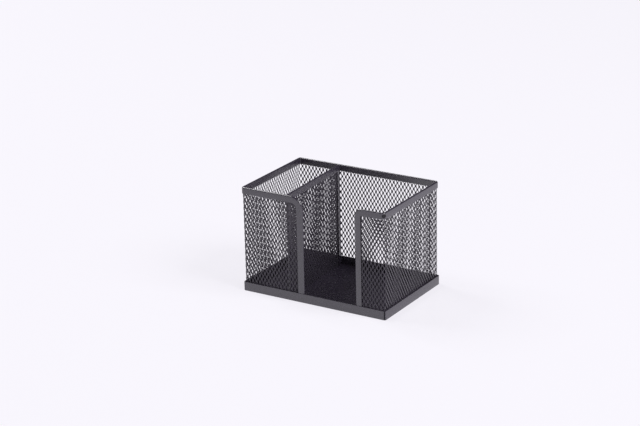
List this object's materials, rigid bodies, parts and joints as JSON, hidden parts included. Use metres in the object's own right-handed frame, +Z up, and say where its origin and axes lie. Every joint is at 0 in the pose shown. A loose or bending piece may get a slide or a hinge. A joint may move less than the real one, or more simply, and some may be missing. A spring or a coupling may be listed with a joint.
{
  "type": "memo holder",
  "caption": "Open-top rectangular desk holder of black steel mesh: a narrow pen bay, a square memo-paper bay, and a wide gap in the front wall for taking paper out.",
  "frame": {"origin": "centre of the flat underside of the base pan", "axes": "+X along the long front, from the pen bay towards the memo bay; +Y from the open front towards the back; +Z up"},
  "size_m": [0.15, 0.1, 0.1],
  "materials": {
    "coated_mesh": "thin satin powder coat, charcoal black with a slight violet tint",
    "coated_sheet": "satin powder coat, charcoal black with a slight violet tint"
  },
  "bodies": {
    "root": {"mesh_front_left": "coated_mesh", "mesh_left": "coated_mesh", "mesh_back": "coated_mesh", "mesh_right": "coated_mesh", "mesh_front_right": "coated_mesh", "divider_mesh": "coated_mesh", "base_pan": "coated_sheet", "rim_main": "coated_sheet", "rim_front_left": "coated_sheet", "rim_front_right": "coated_sheet", "divider_top_rim": "coated_sheet", "divider_front_edge": "coated_sheet", "divider_rear_edge": "coated_sheet"}
  },
  "joints": []
}
